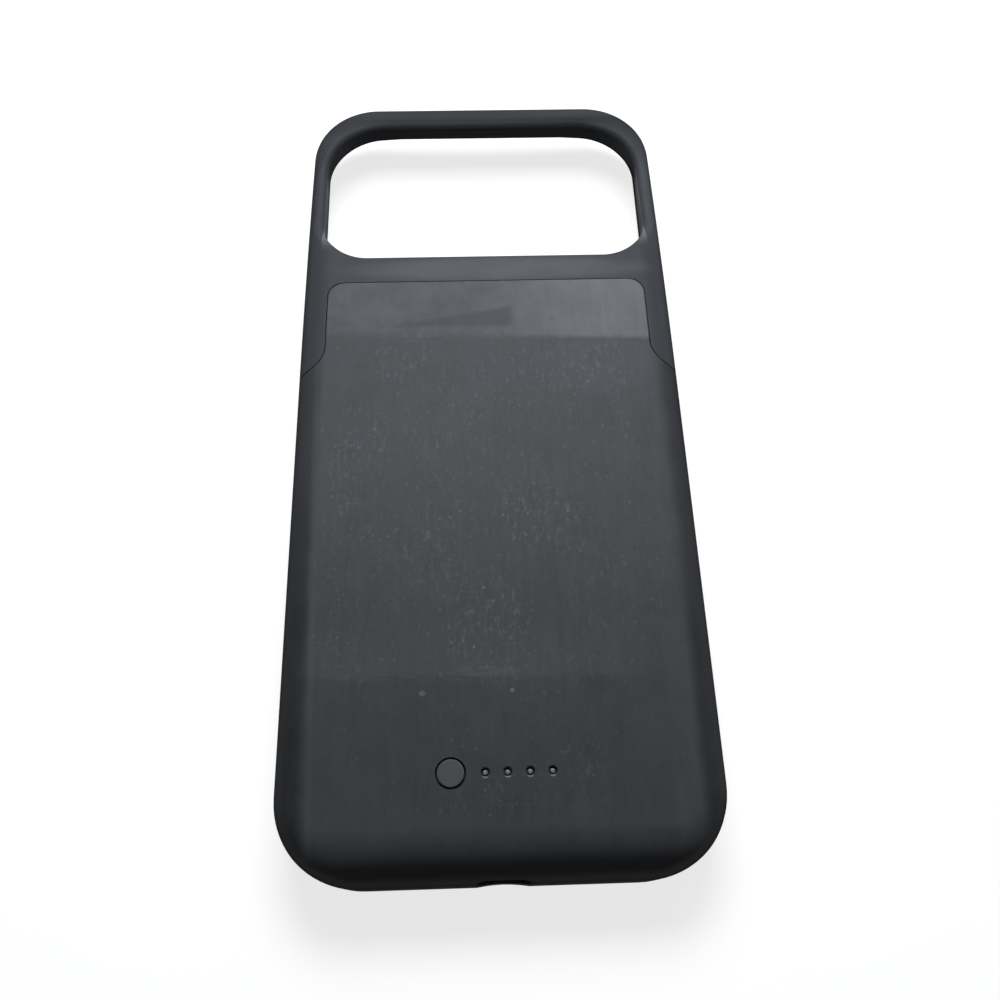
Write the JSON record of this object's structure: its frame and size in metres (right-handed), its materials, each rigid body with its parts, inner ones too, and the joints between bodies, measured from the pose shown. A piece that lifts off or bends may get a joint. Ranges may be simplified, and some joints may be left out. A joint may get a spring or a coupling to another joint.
{
  "type": "phone battery charging case",
  "caption": "Matte grey phone case with a built-in battery, a wide camera window in a soft top frame, a round push button, charge lights, an inner plug and a charge port.",
  "frame": {"origin": "on the surface that the front rim stands on, under the middle of the case", "axes": "+Z out of the back, +Y along the case towards the camera window, +X across it"},
  "size_m": [0.0776, 0.1712, 0.0167],
  "materials": {
    "hard_shell": "matte soft-touch coat, dusty and rubbed",
    "soft_frame": "matte moulded soft plastic",
    "cradle_plastic": "fine matte moulding",
    "button_plastic": "matte soft-touch coat",
    "clear_guide": "frosted translucent",
    "black_foam": "closed-cell foam",
    "pouch_foil": "satin laminated foil",
    "tape": "thin adhesive film",
    "circuit_board": "solder mask",
    "red_wire": "insulated wire",
    "black_wire": "insulated wire",
    "steel": "nickel-plated",
    "switch_metal": "plated",
    "black_plastic": "moulded",
    "led_white": "moulded lens",
    "ferrite": "pressed ferrite",
    "ceramic": "sintered",
    "flex_ribbon": "polyimide film"
  },
  "bodies": {
    "case": {"rear_shell": "hard_shell", "soft_top_frame": "soft_frame", "cradle_frame": "cradle_plastic", "light_guide": "clear_guide", "light_shield": "black_foam", "battery_cell": "pouch_foil", "cell_tape": "tape", "cell_foam_pad": "black_foam", "cell_protection_board": "circuit_board", "cell_lead_positive": "red_wire", "cell_lead_negative": "black_wire", "main_board": "circuit_board", "board_screws": "steel", "tact_switch_body": "switch_metal", "led_1": "led_white", "led_2": "led_white", "led_3": "led_white", "led_4": "led_white", "charge_controller": "black_plastic", "boost_converter": "black_plastic", "power_inductor": "ferrite", "ceramic_capacitors": "ceramic", "charge_socket_shell": "steel", "charge_socket_tongue": "black_plastic", "phone_plug_shell": "steel", "phone_plug_insert": "black_plastic", "phone_plug_base": "black_plastic", "plug_board": "circuit_board", "plug_flex": "flex_ribbon"},
    "button": {"button_cap": "button_plastic", "tact_switch_plunger": "black_plastic"}
  },
  "joints": [
    {"name": "button_press", "type": "slide", "parent": "case", "child": "button", "axis": [0, 0, -1], "range_m": [0, 0.0003], "stiffness_N_per_m": 5000}
  ]
}
